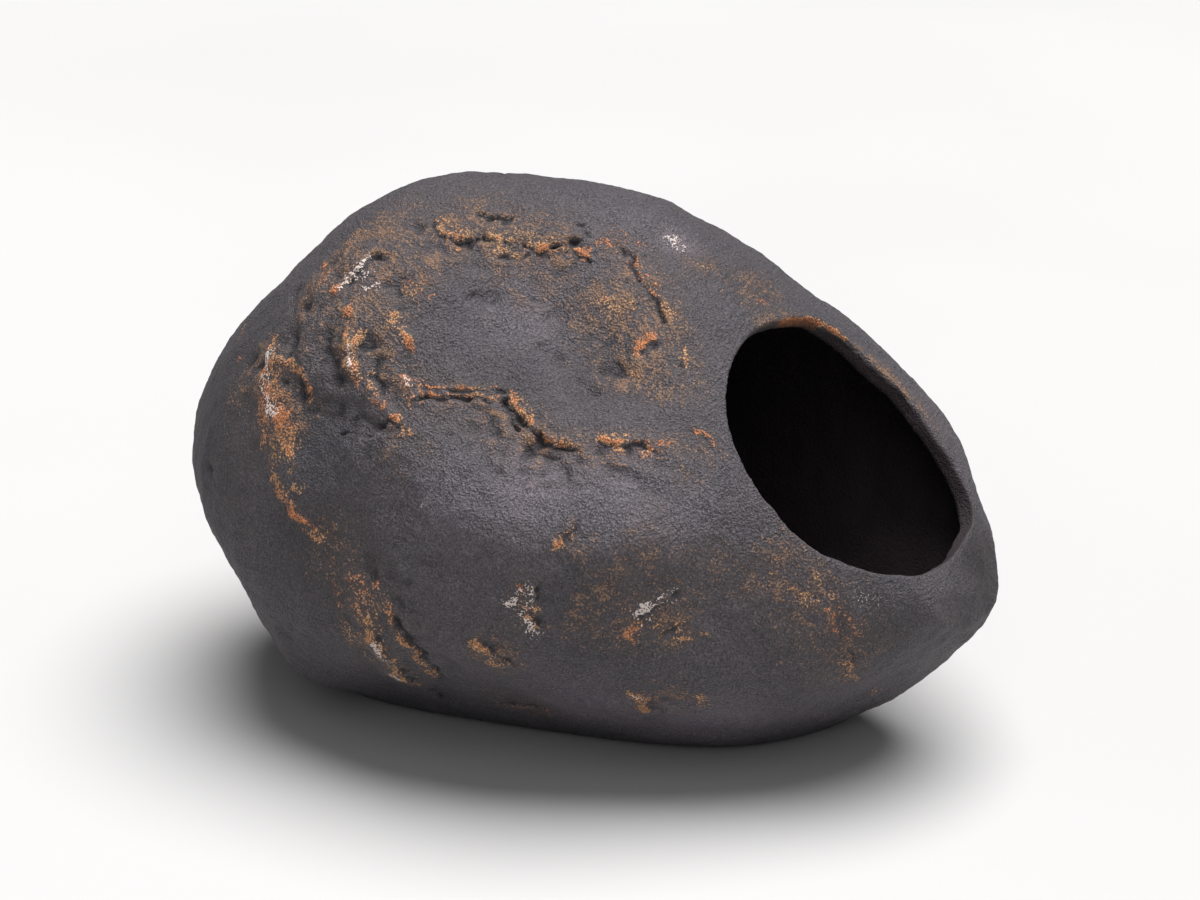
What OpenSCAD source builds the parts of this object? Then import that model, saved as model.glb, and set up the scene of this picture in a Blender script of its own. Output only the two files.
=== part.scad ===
// Hollow rock cave for an aquarium: a cast boulder with one round mouth, closed
// underneath by a bonded floor plate and standing on four soft pads.
// Millimetres. +X is the mouth end, -Y the front, +Z up. The origin is on the ground,
// under the middle of the boulder.

/* [Boulder] */
// Overall length, mouth end to tail
rock_length = 210; // [204:1:230]
// Overall width, front to back
rock_width = 146; // [142:1:160]
// Height of the casting, without its pads
rock_height = 133; // [126:1:146]
// How sharply the weathered faces meet
edge_sharpness = 12; // [8:1:16]
// Wall thickness of the casting
wall = 4.5; // [3.5:0.5:5.5]

/* [Mouth] */
// Width of the mouth, across the rock
mouth_w = 67; // [50:1:70]
// Height of the mouth, measured up the slope it is cut in
mouth_h = 70; // [54:1:72]

/* [Vent] */
// Diameter of the rear vent, which lets trapped air out and passes an airline
vent_d = 8; // [5:0.5:12]

/* [Floor plate] */
// Length of the opening in the underside
floor_l = 76; // [60:1:76]
// Width of the opening in the underside
floor_w = 40; // [34:1:40]
// Width of the ledge that the plate's flange seats on
ledge = 5; // [4:0.5:5]
// Thickness of the plate's flange
flange_t = 3; // [2:0.5:4]
// Width of the adhesive groove round the flange
bond_gap = 1; // [0.6:0.1:1]

/* [Feet] */
// Diameter of each pad
foot_d = 10; // [6:1:10]
// Thickness of each pad
foot_t = 2; // [1:0.5:3]

/* [Hidden] */

// Centre that the boulder's faces are measured from, above the casting's underside.
CORE = [2.5, -1.3, 64];

// The boulder's weathered faces: azimuth from the mouth end (negative towards the
// front), elevation, and distance from the core.
FACES = [
    [   0,  90,  71],  // top cap
    [ -64,  48,  54],  // upper front panel
    [-145,  42,  85],  // tail shoulder, front
    [ 160,  45,  84],  // tail shoulder, back
    [  90,  50,  66],  // back shoulder
    [  45,  50,  68],  // slope behind the mouth
    [  -5,  46,  62],  // slope that holds the mouth
    [ -64,   5,  66],  // belly
    [-100,  10,  71],  // front, towards the tail
    [-140, -18,  95],  // tail, lower front
    [-152,  16, 102],  // tail
    [ 135,   0,  88],  // tail, back
    [  90,  10,  69],  // back
    [  60, -20,  76],  // back, towards the mouth end
    [  32,   8, 111],  // cheek behind the mouth
    [  10,  -8, 120],  // nose
    [ -25, -18, 111],  // nose, front
    [ -10, -50,  96],  // under the nose
    [ -35, -45,  81],  // under the belly, mouth end
    [ -82, -50,  64],  // under the belly
    [-130, -44,  92],  // under the tail, front
    [ 178, -35,  98],  // under the tail
    [ 122, -48,  90]   // under the back
];

// Broad swells and hollows on those faces: azimuth, elevation, height and angular spread.
SWELLS = [
    [ -70,  10,  4.0, 26],  // brow of the belly
    [ -76,  54, -3.0, 19],  // hollow in the upper front panel
    [-142,   0,  3.0, 15],  // ridge down the tail's front corner
    [-128,  45,  2.0, 14]   // knuckle above that ridge
];

// The mouth: where its centre lies, and which way it faces.
MOUTH_AT = CORE + [70, -3, 17];
MOUTH_AZ = -5;
MOUTH_EL = 46;
// How far its cutter runs into the cave and out of it, and its corners' place and radius.
MOUTH_IN = 18;
MOUTH_OUT = 34;
MOUTH_CORNER = [0.24, 0.26];
MOUTH_CORNER_R = 14;

// The vent leaves square to the back shoulder.
VENT_AZ = 90;
VENT_EL = 50;
VENT_REACH = 90;

// The underside: its thickness round the plate, and where the plate's centre lies.
RIM_T = 6;
PLATE_AT = [0, 17];
// Clearance between the plate's plug and the opening, and how deep the bead lies in its groove.
PLUG_GAP = 0.3;
BEAD_SINK = 0.4;

// Where each pad is stuck.
FEET = [
    ["foot_front_left", [-50, -14]],
    ["foot_front_right", [49, 2]],
    ["foot_rear_left", [-46, 33]],
    ["foot_rear_right", [47, 30]]
];
FOOT_CHAMFER = 0.5;

// How far a cutter runs on past what it cuts.
PAST = 1;

// How finely the boulder's outside and inside are drawn, as [rings along it, spokes round it].
OUTSIDE = [40, 78];
INSIDE = [30, 56];

BASALT = "#4a4649";
PLATE_GREY = "#5a5557";
SEALANT = "#2b2a2c";
RUBBER = "#1d1d1f";

function heading(az, el) = [cos(az) * cos(el), sin(az) * cos(el), sin(el)];

function total(v) = v * [for (x = v) 1];

// Distance from the core to the surface along direction d. The faces are blended into one
// smooth skin, and inset moves every face in by the same amount.
function reach(d, inset) =
    pow(total([for (f = FACES)
        pow(max(0, d * heading(f[0], f[1])) / (f[2] - inset), edge_sharpness)]),
        -1 / edge_sharpness)
    + total([for (s = SWELLS)
        s[2] * exp(-pow(acos(min(1, d * heading(s[0], s[1]))) / s[3], 2))]);

function skin_point(along, around, inset) =
    let (d = [cos(along), sin(along) * cos(around), sin(along) * sin(around)])
    CORE + d * reach(d, inset);

// A closed boulder whose rings run from the nose at +X to the tail at -X.
module boulder(inset, fineness) {
    rings = fineness[0];
    spokes = fineness[1];
    nose = 0;
    tail = 1;
    points = concat(
        [skin_point(0, 0, inset), skin_point(180, 0, inset)],
        [for (i = [1:rings - 1], j = [0:spokes - 1])
            skin_point(180 * i / rings, 360 * j / spokes, inset)]
    );
    function at(i, j) = 2 + (i - 1) * spokes + j % spokes;
    faces = concat(
        [for (j = [0:spokes - 1]) [nose, at(1, j + 1), at(1, j)]],
        [for (j = [0:spokes - 1]) [tail, at(rings - 1, j), at(rings - 1, j + 1)]],
        [for (i = [1:rings - 2], j = [0:spokes - 1]) [at(i, j), at(i, j + 1), at(i + 1, j + 1)]],
        [for (i = [1:rings - 2], j = [0:spokes - 1]) [at(i, j), at(i + 1, j + 1), at(i + 1, j)]]
    );
    polyhedron(points, faces, convexity = 4);
}

// The half space above a level, wide enough for the whole boulder.
module above(level) {
    span = 400;
    translate([-span / 2, -span / 2, level]) cube(span);
}

// Round on the front, squarer on the back. X runs down the slope.
module mouth_outline() {
    hull() {
        scale([mouth_h / mouth_w, 1]) circle(d = mouth_w, $fn = 64);
        for (side = [-1, 1])
            translate([side * MOUTH_CORNER[1] * mouth_h, MOUTH_CORNER[0] * mouth_w])
                circle(r = MOUTH_CORNER_R, $fn = 32);
    }
}

module mouth_cutter() {
    translate(MOUTH_AT)
        rotate([0, 90 - MOUTH_EL, MOUTH_AZ])
            translate([0, 0, -MOUTH_IN])
                linear_extrude(MOUTH_IN + MOUTH_OUT) mouth_outline();
}

// The casting before its underside is opened, brought to its stated size.
module hollow_boulder() {
    resize([rock_length, rock_width, rock_height])
        difference() {
            intersection() {
                boulder(0, OUTSIDE);
                above(0);
            }
            intersection() {
                boulder(wall, INSIDE);
                above(RIM_T);
            }
            mouth_cutter();
        }
}

// A flat bar with round ends, centred where the plate is.
module floor_bar(length, width, bottom, top) {
    translate([PLATE_AT[0], PLATE_AT[1], bottom])
        linear_extrude(top - bottom)
            union() {
                square([length - width, width], center = true);
                for (side = [-1, 1])
                    translate([side * (length - width) / 2, 0]) circle(d = width, $fn = 72);
            }
}

module vent_cutter() {
    translate(CORE)
        rotate([0, 90 - VENT_EL, VENT_AZ])
            cylinder(d = vent_d, h = VENT_REACH, $fn = 48);
}

module rock_shell() {
    rebate = 2 * (ledge + bond_gap);
    color(BASALT)
        translate([0, 0, foot_t])
            difference() {
                hollow_boulder();
                floor_bar(floor_l, floor_w, -PAST, RIM_T + PAST);
                floor_bar(floor_l + rebate, floor_w + rebate, -PAST, flange_t);
                vent_cutter();
            }
}

// Flange from below against the ledge, plug flush with the cave's floor.
module floor_plate() {
    plug_l = floor_l - 2 * PLUG_GAP;
    plug_w = floor_w - 2 * PLUG_GAP;
    color(PLATE_GREY)
        translate([0, 0, foot_t])
            union() {
                floor_bar(floor_l + 2 * ledge, floor_w + 2 * ledge, 0, flange_t);
                floor_bar(plug_l, plug_w, flange_t, RIM_T);
            }
}

module bond_bead() {
    inner = 2 * ledge;
    outer = inner + 2 * bond_gap;
    color(SEALANT)
        translate([0, 0, foot_t])
            difference() {
                floor_bar(floor_l + outer, floor_w + outer, BEAD_SINK, flange_t);
                floor_bar(floor_l + inner, floor_w + inner, 0, flange_t + PAST);
            }
}

module foot(name) {
    place = [for (f = FEET) if (f[0] == name) f[1]][0];
    r = foot_d / 2;
    color(RUBBER)
        translate([place[0], place[1], 0])
            rotate_extrude($fn = 64)
                polygon([
                    [0, 0], [r - FOOT_CHAMFER, 0], [r, FOOT_CHAMFER], [r, foot_t], [0, foot_t]
                ]);
}

rock_shell();
floor_plate();
bond_bead();
foot("foot_front_left");  // foot_front_left
foot("foot_front_right");  // foot_front_right
foot("foot_rear_left");  // foot_rear_left
foot("foot_rear_right");  // foot_rear_right
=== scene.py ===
"""Looks for the aquarium rock cave: the boulder's broken stone surface and its dry-brushed
paint, the floor plate, sealant and pads, on a pale floor in soft light.
Metres, in the part's frame: +X is the mouth end, -Y the front, +Z up."""
import itertools
import math

import bpy
import numpy as np
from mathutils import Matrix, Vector
from mathutils.bvhtree import BVHTree


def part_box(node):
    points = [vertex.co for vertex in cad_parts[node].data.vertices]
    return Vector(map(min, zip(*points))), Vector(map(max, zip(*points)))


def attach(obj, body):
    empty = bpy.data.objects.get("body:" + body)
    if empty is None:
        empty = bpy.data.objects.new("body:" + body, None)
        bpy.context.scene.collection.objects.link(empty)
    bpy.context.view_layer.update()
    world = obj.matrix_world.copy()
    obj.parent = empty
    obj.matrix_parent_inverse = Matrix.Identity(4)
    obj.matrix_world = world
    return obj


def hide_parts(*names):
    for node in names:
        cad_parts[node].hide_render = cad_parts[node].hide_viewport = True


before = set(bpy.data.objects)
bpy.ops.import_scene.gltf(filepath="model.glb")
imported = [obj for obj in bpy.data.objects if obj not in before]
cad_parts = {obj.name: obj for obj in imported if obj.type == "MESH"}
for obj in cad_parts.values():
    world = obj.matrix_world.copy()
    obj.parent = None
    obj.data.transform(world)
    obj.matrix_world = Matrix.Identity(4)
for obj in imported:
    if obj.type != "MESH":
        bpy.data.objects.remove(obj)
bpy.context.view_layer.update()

MM = 0.001

# ---------------------------------------------------------------- the boulder's own places

SHELL_LOW, SHELL_HIGH = (np.array(corner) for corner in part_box("rock_shell"))
# The core that features are placed about, as parts of the shell's box.
CORE = SHELL_LOW + (SHELL_HIGH - SHELL_LOW) * np.array([0.5125, 0.491, 0.481])
UNDERSIDE = SHELL_LOW[2]
MOUTH_CENTRE = CORE + np.array([70, -3, 17]) * MM
MOUTH_FACING = (-5, 46)
MOUTH_RADIUS = 34 * MM

# Size of the remeshed shell's faces.
VOXEL = 0.55 * MM
# Farther from the core than any of the surface.
FAR_OUT = 0.3


def heading(azimuth, elevation):
    """Unit vector. Azimuth 0 is the mouth end and -90 the front."""
    a, e = math.radians(azimuth), math.radians(elevation)
    return np.array([math.cos(a) * math.cos(e), math.sin(a) * math.cos(e), math.sin(e)])


def ramp(values, low, high):
    """0 below low, 1 above high, and a smooth S between. low may be the larger."""
    t = np.clip((values - low) / (high - low), 0, 1)
    return t * t * (3 - 2 * t)


def dome(distance, width):
    """1 at distance 0, and gone at about twice the width."""
    return np.exp(-((distance / width) ** 2))


# ---------------------------------------------------------------- noise

NOISE_CELLS = 256
CORNERS = list(itertools.product((0, 1), repeat=3))
# Brings the noise to about -1 to 1.
NOISE_GAIN = 1.7


def lumps(points, size, seed):
    """Smooth noise in about -1 to 1, whose lumps are about size metres across."""
    rng = np.random.default_rng(seed)
    shuffle = rng.permutation(NOISE_CELLS)
    slopes = rng.normal(size=(NOISE_CELLS, 3))
    slopes /= np.linalg.norm(slopes, axis=1, keepdims=True)
    scaled = points / size
    cell = np.floor(scaled).astype(np.int64)
    inside = scaled - cell
    fade = inside**3 * (inside * (inside * 6 - 15) + 10)
    total = np.zeros(len(points))
    for corner in CORNERS:
        x, y, z = ((cell + corner) % NOISE_CELLS).T
        key = shuffle[(shuffle[(shuffle[x] + y) % NOISE_CELLS] + z) % NOISE_CELLS]
        weight = np.prod(np.where(corner, fade, 1 - fade), axis=1)
        total += weight * np.einsum("ij,ij->i", slopes[key], inside - corner)
    return total * NOISE_GAIN


def wander(points, size, amount, seed):
    """Points pushed about by up to amount, so that what is drawn on them looks natural."""
    push = [lumps(points, size, seed + axis) for axis in range(3)]
    return points + amount * np.stack(push, axis=1)


# ---------------------------------------------------------------- mesh helpers

# Corners closer than this are one corner.
WELD_GAP = 0.01 * MM


def mesh_arrays(mesh):
    """The mesh's points, and its edges as pairs of them."""
    points = np.empty(len(mesh.vertices) * 3)
    mesh.vertices.foreach_get("co", points)
    edges = np.empty(len(mesh.edges) * 2, np.int64)
    mesh.edges.foreach_get("vertices", edges)
    return points.reshape(-1, 3), edges.reshape(-1, 2)


def mesh_normals(mesh):
    normals = np.empty(len(mesh.vertices) * 3)
    mesh.vertex_normals.foreach_get("vector", normals)
    return normals.reshape(-1, 3)


def neighbour_mean(values, edges, degree):
    """Each point's mean of its neighbours. degree is how many it has."""
    total = np.bincount(edges[:, 0], values[edges[:, 1]], len(values))
    total += np.bincount(edges[:, 1], values[edges[:, 0]], len(values))
    return total / degree


def blurred(values, edges, rounds):
    """Values spread along the mesh's edges."""
    degree = np.bincount(edges.ravel(), minlength=len(values))
    for _ in range(rounds):
        values = 0.5 * values + 0.5 * neighbour_mean(values, edges, degree)
    return values


def relaxed(points, edges, steps, amount):
    """Moves points towards the mean of their neighbours, by each step in turn. amount is each
    point's share."""
    degree = np.bincount(edges.ravel(), minlength=len(points))
    for step in steps:
        mean = np.stack([neighbour_mean(points[:, k], edges, degree) for k in range(3)], 1)
        points = points + step * amount[:, None] * (mean - points)
    return points


def smooth_points(points, edges, rounds, amount):
    """Takes the facets and steps out without shrinking."""
    return relaxed(points, edges, [0.6, -0.62] * rounds, amount)


def round_off(points, edges, rounds, amount):
    """Rounds sharp edges."""
    return relaxed(points, edges, [0.5] * rounds, amount)


def outward(points, normals):
    """1 where the surface looks straight away from the core, -1 where it looks at it."""
    out = points - CORE
    return np.einsum("ij,ij->i", out, normals) / np.linalg.norm(out, axis=1)


def put_points(mesh, points):
    mesh.vertices.foreach_set("co", points.ravel())
    mesh.update()


def put_attribute(mesh, name, values):
    layer = mesh.attributes.new(name, "FLOAT", "POINT")
    layer.data.foreach_set("value", np.clip(values, 0, 1).astype(np.float32))


def remeshed(node, voxel, name):
    """A new object with the CAD node's shape in even small faces."""
    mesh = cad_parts[node].data.copy()
    piece = bpy.data.objects.new(name, mesh)
    bpy.context.scene.collection.objects.link(piece)
    weld = piece.modifiers.new("weld", "WELD")
    weld.merge_threshold = WELD_GAP
    remesh = piece.modifiers.new("remesh", "REMESH")
    remesh.mode = "VOXEL"
    remesh.voxel_size = voxel
    shaped = bpy.data.meshes.new_from_object(
        piece.evaluated_get(bpy.context.evaluated_depsgraph_get()))
    piece.modifiers.clear()
    shaped.materials.clear()
    piece.data = shaped
    bpy.data.meshes.remove(mesh)
    shaped.name = name
    shaped.shade_smooth()
    return piece


# ---------------------------------------------------------------- lines on the boulder


class Surface:
    """The smooth boulder, for finding places on its outside by azimuth and elevation."""

    def __init__(self, mesh):
        polygons = [tuple(p.vertices) for p in mesh.polygons]
        self.tree = BVHTree.FromPolygons([v.co for v in mesh.vertices], polygons)

    def at(self, azimuth, elevation):
        out = Vector(heading(azimuth, elevation))
        start = Vector(CORE) + out * FAR_OUT
        return np.array(self.tree.ray_cast(start, -out)[0])

    def line(self, angles):
        return np.array([self.at(*pair) for pair in angles])


def nearby(points, line, reach):
    """Which points could be within reach of a line."""
    inside = (points > line.min(axis=0) - reach) & (points < line.max(axis=0) + reach)
    return np.flatnonzero(inside.all(axis=1))


def measure(points, line):
    """Each point's distance from a line on the boulder, the same with a sign (positive to the
    left of the way the line runs, seen from outside), and how far along it from 0 to 1."""
    best = np.full(len(points), np.inf)
    side = np.zeros(len(points))
    along = np.zeros(len(points))
    lengths = np.linalg.norm(np.diff(line, axis=0), axis=1)
    starts = np.concatenate([[0], np.cumsum(lengths)])
    for start, end, length, before in zip(line[:-1], line[1:], lengths, starts):
        way = (end - start) / length
        left = np.cross((start + end) / 2 - CORE, way)
        left /= np.linalg.norm(left)
        offset = points - start
        t = np.clip(offset @ way, 0, length)
        gap = offset - t[:, None] * way
        distance = np.linalg.norm(gap, axis=1)
        nearer = distance < best
        best[nearer] = distance[nearer]
        side[nearer] = (gap @ left)[nearer]
        along[nearer] = (before + t[nearer]) / starts[-1]
    return best, np.where(side < 0, -best, best), along


def follow(points, line, reach):
    """The points within about reach mm of a line, and what measure says of each."""
    chosen = nearby(points, line, reach * MM)
    return chosen, *measure(points[chosen], line)


def fade_ends(along, share=0.18):
    """1 along most of a line, and 0 at its ends."""
    return ramp(along, 0, share) * ramp(along, 1, 1 - share)


# ---------------------------------------------------------------- the broken surface
# Places are (azimuth, elevation) about the core, in degrees. Heights and widths are in mm.

# Broken edges: the rock on the line's left stands proud of the rock on its right.
# line, lip height and width, drop and its width, depth of the crack under the lip
SCARPS = [
    # long shelf between the recessed panel and the belly, and the terraces beside it
    ([(-107, 28), (-101, 31), (-95, 33), (-88, 34), (-84, 33)], 0.2, 8, 0.5, 7, 0.9),
    ([(-108, 30), (-102, 32), (-95, 35), (-86, 36)], 0.1, 5, 0.2, 3, 0.5),
    ([(-90, 34), (-84, 33), (-80, 30), (-76, 28), (-72, 26)], 0.3, 9, 0.9, 8, 1.5),
    ([(-88, 32), (-84, 31), (-81, 28), (-78, 26)], 0.0, 4, 0.5, 5, 1.0),
    ([(-78, 28), (-71, 25), (-64, 24)], 0.2, 7, 0.7, 8, 0.9),
    ([(-82, 27), (-76, 24), (-70, 22)], 0.1, 5, 0.3, 5, 0.4),
    # its tail towards the mouth
    ([(-63, 27), (-58, 26), (-53, 25), (-47, 20)], 0.2, 7, 0.5, 6, 0.6),
    ([(-41, 28), (-37, 23), (-34, 18)], 0.1, 5, 0.3, 4, 0.4),
    # broken ledge under the top, in terraces
    ([(-146, 60), (-138, 59), (-133, 60), (-130, 63), (-130, 66)], 0.2, 7, 0.8, 7, 0.9),
    ([(-131, 65), (-125, 68), (-117, 71), (-110, 72)], 0.2, 6, 0.6, 7, 0.9),
    ([(-114, 72), (-107, 72), (-101, 73), (-94, 76), (-85, 78), (-72, 81)], 0.3, 7, 0.9, 8, 1.3),
    ([(-143, 66), (-141, 71), (-136, 73), (-131, 74)], 0.2, 6, 0.5, 4, 1.0),
    ([(-100, 82), (-80, 83), (-63, 82), (-60, 79)], 0.1, 5, 0.5, 5, 1.1),
    ([(-122, 64), (-116, 66), (-109, 70)], 0.1, 4, 0.4, 5, 0.5),
    ([(-80, 77), (-72, 75), (-63, 74)], 0.2, 5, 0.5, 5, 0.9),
    # crack that turns down from the ledge towards the mouth
    ([(-42, 78), (-32, 76), (-28, 72), (-32, 68), (-30, 63), (-28, 59), (-30, 54), (-34, 50)],
     0.2, 6, 0.4, 5, 0.9),
    ([(-30, 48), (-32, 44), (-35, 39)], 0.1, 4, 0.3, 4, 0.5),
    ([(-46, 48), (-41, 50), (-37, 48)], 0.1, 4, 0.3, 4, 0.3),
    # edge with the white streak
    ([(-133, 37), (-135, 41), (-136, 45), (-138, 50)], 0.3, 5, 0.7, 7, 0.2),
    # foot of the folds, where the belly's shoulder starts
    ([(-104, 21), (-109, 22), (-114, 18), (-119, 17)], 0.3, 6, 0.8, 8, 0.3),
    # sharp edge at the lower left
    ([(-103, -36), (-99, -23), (-101, -15), (-104, -11)], 0.3, 3, 0.7, 7, 0.7),
    ([(-121, -50), (-112, -42), (-103, -36)], 0.3, 3, 0.4, 5, 0.5),
    ([(-110, -36), (-106, -24), (-107, -14)], 0.3, 3, 0.4, 4, 0.6),
    # small chips on the belly
    ([(-73, -12), (-75, -8), (-73, -3), (-71, 1)], 0.2, 5, 0.5, 5, 0.1),
    ([(-79, -21), (-83, -18), (-87, -14)], 0.2, 5, 0.5, 5, 0.1),
    ([(-67, 4), (-69, 7), (-67, 10)], 0.2, 4, 0.4, 4, 0.1),
    ([(-56, -10), (-51, -7), (-47, -4)], 0.2, 3, 0.3, 3, 0.0),
    ([(-52, -13), (-46, -10)], 0.2, 3, 0.3, 3, 0.0),
    ([(-50, -36), (-52, -31), (-50, -27)], 0.2, 4, 0.6, 5, 0.2),
    ([(-17, -21), (-21, -14), (-24, -8), (-30, -4)], 0.1, 5, 0.3, 5, 0.0),
    # tail and back
    ([(158, 26), (165, 34), (172, 40), (-178, 42)], 0.3, 7, 0.9, 8, 0.9),
    ([(155, 8), (161, 14), (160, 24)], 0.3, 6, 0.7, 7, 0.7),
    ([(98, 13), (108, 10), (118, 14), (130, 16), (140, 13), (150, 20)], 0.4, 8, 1.0, 9, 1.1),
    ([(80, -18), (90, -12), (104, -16), (118, -12)], 0.3, 6, 0.7, 7, 0.6),
    ([(42, -6), (47, 4), (56, 12), (60, 22), (68, 30)], 0.3, 6, 0.8, 7, 0.8),
    ([(68, 50), (80, 46), (94, 49), (108, 48), (122, 42)], 0.3, 6, 0.7, 7, 0.8),
    ([(-163, -24), (-172, -12), (-168, 0), (-175, 10)], 0.3, 6, 0.7, 7, 0.6),
]

# Raised ridges: line, height, width
RIDGES = [
    # the tail's front corner, from the folds down to the underside
    ([(-150, 24), (-138, 20), (-131, 15), (-126, 8), (-119, -1)], 1.3, 5.5),
    ([(-116, -4), (-110, -10), (-108, -20), (-111, -32), (-119, -44)], 1.5, 5),
    ([(-108, -6), (-103, -11), (-101, -17)], 0.4, 1.4),
    ([(-115, -9), (-113, -15), (-114, -22)], 0.5, 1.4),
    # brow of the belly
    ([(-104, 12), (-92, 8), (-80, 6), (-62, 5), (-46, 5), (-34, 7)], 2.8, 9),
    # folds between that corner and the recessed panel
    ([(-130, 38), (-125, 34), (-123, 32), (-120, 29), (-117, 26)], 1.5, 1.8),
    ([(-124, 37), (-122, 31)], 0.5, 1.2),
    ([(-119, 32), (-115, 27), (-110, 24), (-103, 21)], 1.2, 1.8),
    ([(-123, 43), (-120, 40), (-113, 38)], 1.0, 1.8),
    ([(-113, 32), (-108, 30), (-104, 27)], 1.2, 1.9),
    ([(-144, 26), (-138, 24), (-132, 25), (-125, 20)], 1.2, 2.0),
    ([(-148, 38), (-139, 34), (-130, 32)], 0.9, 4),
    ([(-151, 46), (-140, 44), (-133, 46)], 0.5, 3),
    ([(-133, 54), (-124, 52), (-115, 48)], 0.6, 4),
    ([(-129, 7), (-124, 2), (-117, -3)], 0.6, 1.6),
    # beside the crack above the mouth
    ([(-56, 66), (-46, 63), (-38, 60)], 0.6, 3.5),
    ([(-50, 43), (-43, 47), (-38, 54)], 0.6, 3.5),
    # rolled rim at the mouth's lower end
    ([(-14, -1), (-5, -4), (6, -3), (13, 2), (17, 8)], 0.9, 3.5),
    # tail and back
    ([(172, 30), (176, 14), (170, -2), (175, -20)], 1.4, 5),
    ([(120, 34), (108, 40), (96, 36)], 1.0, 4),
    ([(62, -4), (54, -16), (60, -28)], 1.1, 4.5),
    ([(140, -4), (132, -14), (136, -28)], 1.3, 5),
]

# Creases: line, depth, width
CREASES = [
    # deep folds at the left
    ([(-141, 30), (-135, 27), (-130, 22), (-126, 18)], 1.8, 3.2),
    ([(-132, 35), (-129, 31), (-125, 28), (-120, 25)], 1.7, 2.8),
    ([(-124, 39), (-121, 35), (-117, 30), (-112, 27), (-108, 25)], 1.6, 2.6),
    ([(-116, 36), (-112, 34), (-108, 32)], 0.8, 2.2),
    ([(-148, 19), (-141, 21), (-137, 24)], 1.3, 2.6),
    ([(-129, 19), (-124, 21), (-119, 21), (-114, 25)], 1.5, 2.4),
    ([(-153, 31), (-143, 33), (-135, 34), (-130, 37)], 1.4, 3.2),
    ([(-146, 41), (-137, 40), (-131, 43)], 0.8, 3.0),
    ([(-131, 48), (-125, 45), (-118, 43)], 0.9, 3.0),
    ([(-111, 2), (-107, -5), (-101, -9), (-98, -16)], 0.9, 3.5),
    ([(-88, 18), (-83, 19), (-79, 22)], 0.6, 1.2),
    ([(-103, 8), (-99, 10), (-96, 7)], 0.5, 1.5),
    ([(-94, 12), (-91, 9)], 0.4, 1.4),
    ([(-104, 10), (-101, -1)], 0.5, 3.0),
    # dents in the recessed panel
    ([(-62, 46), (-54, 44), (-49, 46)], 1.1, 2.8),
    ([(-90, 60), (-80, 58), (-74, 59)], 1.2, 2.6),
    ([(-87, 51), (-78, 49), (-72, 51)], 0.8, 2.6),
    ([(-60, 54), (-51, 52)], 1.0, 2.6),
    ([(-118, 55), (-110, 57), (-103, 56)], 1.2, 3.2),
    ([(-72, 41), (-66, 38), (-60, 39)], 0.9, 2.8),
    # creased shoulder of the belly, hollow under the shelf
    ([(-106, 23), (-90, 26), (-76, 20), (-60, 20), (-44, 16)], 1.2, 7),
    ([(-62, 19), (-54, 16), (-47, 12)], 0.5, 2.4),
    ([(-54, 21), (-47, 18), (-40, 17)], 0.5, 2.0),
    ([(-30, 30), (-24, 22)], 0.4, 1.8),
    ([(-150, -14), (-140, -21), (-130, -23), (-121, -20)], 0.8, 4),
    # back
    ([(168, 8), (158, 2), (150, -8)], 1.1, 1.8),
    ([(110, 26), (100, 22), (88, 26), (80, 22)], 1.0, 1.6),
    ([(88, -2), (80, 4), (68, 2)], 0.9, 1.6),
    ([(30, 30), (42, 34), (50, 28)], 0.7, 1.4),
    ([(148, 60), (164, 66), (-170, 60)], 0.9, 1.6),
]

# Smooth hollows and swells: place, height, width
SWELLS = [
    ((-88, 48), 0.9, 9),
    ((-60, 39), -0.9, 10),
    ((-92, 60), -1.2, 12),
    ((-62, 52), -0.8, 12),
    ((-122, 20), -1.3, 8),
    ((-130, 5), 0.8, 12),
    ((-149, -14), -2.8, 13),
    ((-141, -35), 3.6, 12),
    ((-60, 30), 0.8, 10),
    ((-100, 6), -0.7, 9),
    ((-97, 9), 0.5, 2),
    ((12, -30), 2.4, 15),
    ((6, -8), -0.8, 8),
    ((20, 62), -0.8, 14),
    ((150, -10), 1.2, 16),
    ((100, 0), -1.4, 18),
    ((60, 45), 1.0, 14),
    ((140, 45), -1.0, 16),
]

# Small pits: place, depth, width
PITS = [
    ((-142, 3), 0.9, 1.5),
    ((-128, -20), 0.5, 2.2),
    ((-96, 83), 0.6, 2.2),
    ((-62, 82), 0.6, 2.0),
    ((-136, 73), 0.4, 1.6),
    ((-80, 78), 0.6, 1.8),
    ((-95, 62), 0.5, 1.0),
    ((-20, 72), 0.6, 0.8),
    ((-15, 2), 0.4, 0.9),
    ((14, 26), 0.5, 0.9),
    ((18, 18), 0.4, 1.1),
    ((26, 17), 0.4, 0.9),
    ((130, 20), 0.7, 1.5),
    ((96, 48), 0.7, 1.3),
]

# Ridges wider than this are smooth swells, and don't tear.
TORN_WIDTH = 3
# How far from a broken edge the rock is torn.
TORN_REACH = 4 * MM

# The unseen back, about this direction, breaks along wandering edges.
BACK_FACING = (116, -10)
# Their spacing in mm, seed and drop in mm.
FAULTS = [
    (26, 101, 1.0),
    (17, 111, 0.7),
]
FAULT_LIP = 0.3
FAULT_LIP_WIDTH = 7
FAULT_DROP_WIDTH = 8
# A fault has no ends, so it is as strong as a listed edge is at its middle.
MIDDLE = 0.5

# The stone's own unevenness: size of its lumps in mm, height in mm, seed.
BROAD_LUMPS = [
    (26, 0.8, 41),
    (12, 0.5, 42),
]
# These are higher where the rock is rough or torn.
ROUGH_LUMPS = [
    (6, 0.32, 43),
    (3, 0.16, 44),
    (1.5, 0.13, 45),
]

# What bends the lines: size of the bends in mm, how far they push in mm, seed.
WANDERS = [
    (9, 1.3, 11),
    (3.5, 1.0, 21),
    (1.4, 0.35, 31),
]


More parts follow.
